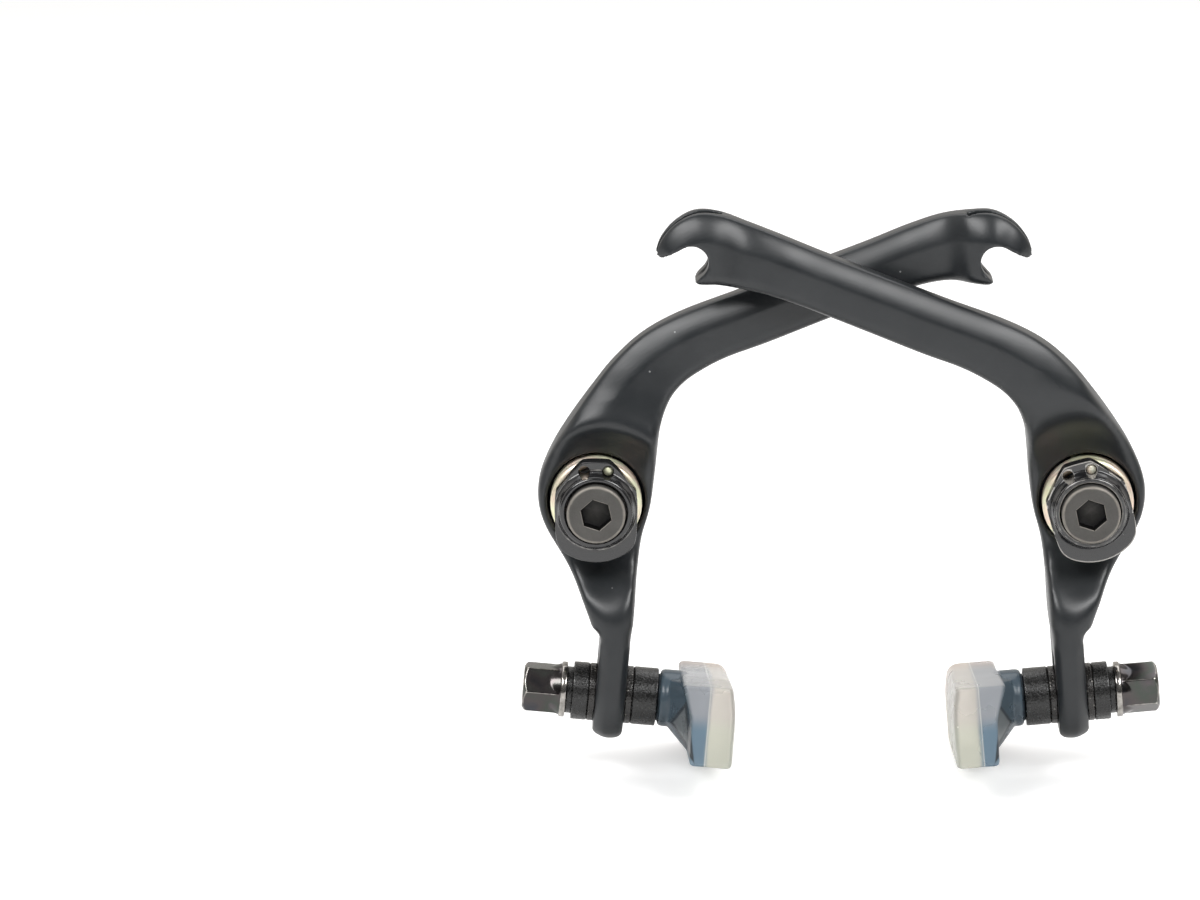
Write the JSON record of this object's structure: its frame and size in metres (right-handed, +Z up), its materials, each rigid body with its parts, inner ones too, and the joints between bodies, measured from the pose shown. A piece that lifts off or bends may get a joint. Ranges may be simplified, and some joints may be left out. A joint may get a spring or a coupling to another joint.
{
  "type": "bicycle rim brake",
  "caption": "Crossed-arm bicycle rim brake: forged arms on sprung pivots, forked cable hooks and clear rubber pads on adjustable threaded studs.",
  "frame": {"origin": "midway between the two pivot axes, on the plane where the brake meets the frame", "axes": "+X across the wheel to the right as seen from the front, -Y the front, away from the frame, +Z up"},
  "size_m": [0.115, 0.0468, 0.1036],
  "materials": {
    "arm_black": "satin black anodised forging",
    "bushing_steel": "turned steel",
    "spring_zinc": "yellow zinc plated wire",
    "collar_black": "gloss black plated steel",
    "bolt_black": "matte black oxide steel",
    "washer_black": "black oxide steel",
    "spacer_black": "black anodised aluminium",
    "nut_black_nickel": "gloss black nickel plated steel",
    "stud_steel": "dark steel",
    "pad_clear": "translucent moulded rubber"
  },
  "bodies": {
    "pivots": {"left_pivot_bushing": "bushing_steel", "right_pivot_bushing": "bushing_steel", "left_pivot_bolt": "bolt_black", "right_pivot_bolt": "bolt_black"},
    "left_arm": {"left_arm": "arm_black"},
    "left_collar": {"left_tension_collar": "collar_black", "left_return_spring": "spring_zinc"},
    "left_stack": {"left_inner_domed_washer": "washer_black", "left_inner_cup_spacer": "spacer_black", "left_outer_domed_washer": "washer_black", "left_outer_cup_spacer": "spacer_black", "left_flat_washer": "washer_black", "left_pad_nut": "nut_black_nickel"},
    "left_pad": {"left_pad_stud": "stud_steel", "left_pad_rubber": "pad_clear"},
    "right_arm": {"right_arm": "arm_black"},
    "right_collar": {"right_tension_collar": "collar_black", "right_return_spring": "spring_zinc"},
    "right_stack": {"right_inner_domed_washer": "washer_black", "right_inner_cup_spacer": "spacer_black", "right_outer_domed_washer": "washer_black", "right_outer_cup_spacer": "spacer_black", "right_flat_washer": "washer_black", "right_pad_nut": "nut_black_nickel"},
    "right_pad": {"right_pad_stud": "stud_steel", "right_pad_rubber": "pad_clear"}
  },
  "joints": [
    {"name": "left_arm_swing", "type": "hinge", "parent": "pivots", "child": "left_arm", "pos_m": [-0.044, 0, 0], "axis": [0, -1, 0], "range_deg": [0, 12], "stiffness_Nm_per_rad": 0.6, "springref_deg": -45.84, "deforming": ["left_return_spring"]},
    {"name": "left_collar_turn", "type": "hinge", "parent": "pivots", "child": "left_collar", "pos_m": [-0.044, 0, 0], "axis": [0, -1, 0], "range_deg": [-30, 60]},
    {"name": "left_pad_height", "type": "slide", "parent": "left_arm", "child": "left_stack", "axis": [0.0872, 0, 0.9962], "range_m": [0, 0.005]},
    {"name": "left_pad_turn", "type": "hinge", "parent": "left_stack", "child": "left_pad", "pos_m": [-0.0415, -0.0134, -0.0355], "axis": [0.9962, 0, -0.0872], "range_deg": [-20, 20]},
    {"name": "right_arm_swing", "type": "hinge", "parent": "pivots", "child": "right_arm", "pos_m": [0.044, 0, 0], "axis": [0, 1, 0], "range_deg": [0, 12], "stiffness_Nm_per_rad": 0.6, "springref_deg": -45.84, "deforming": ["right_return_spring"]},
    {"name": "right_collar_turn", "type": "hinge", "parent": "pivots", "child": "right_collar", "pos_m": [0.044, 0, 0], "axis": [0, 1, 0], "range_deg": [-30, 60]},
    {"name": "right_pad_height", "type": "slide", "parent": "right_arm", "child": "right_stack", "axis": [-0.0872, 0, 0.9962], "range_m": [0, 0.005]},
    {"name": "right_pad_turn", "type": "hinge", "parent": "right_stack", "child": "right_pad", "pos_m": [0.0415, -0.0134, -0.0355], "axis": [-0.9962, 0, -0.0872], "range_deg": [-20, 20]}
  ],
  "couplings": [
    {"joint": "right_arm_swing", "follows": "left_arm_swing", "ratio": 1}
  ]
}
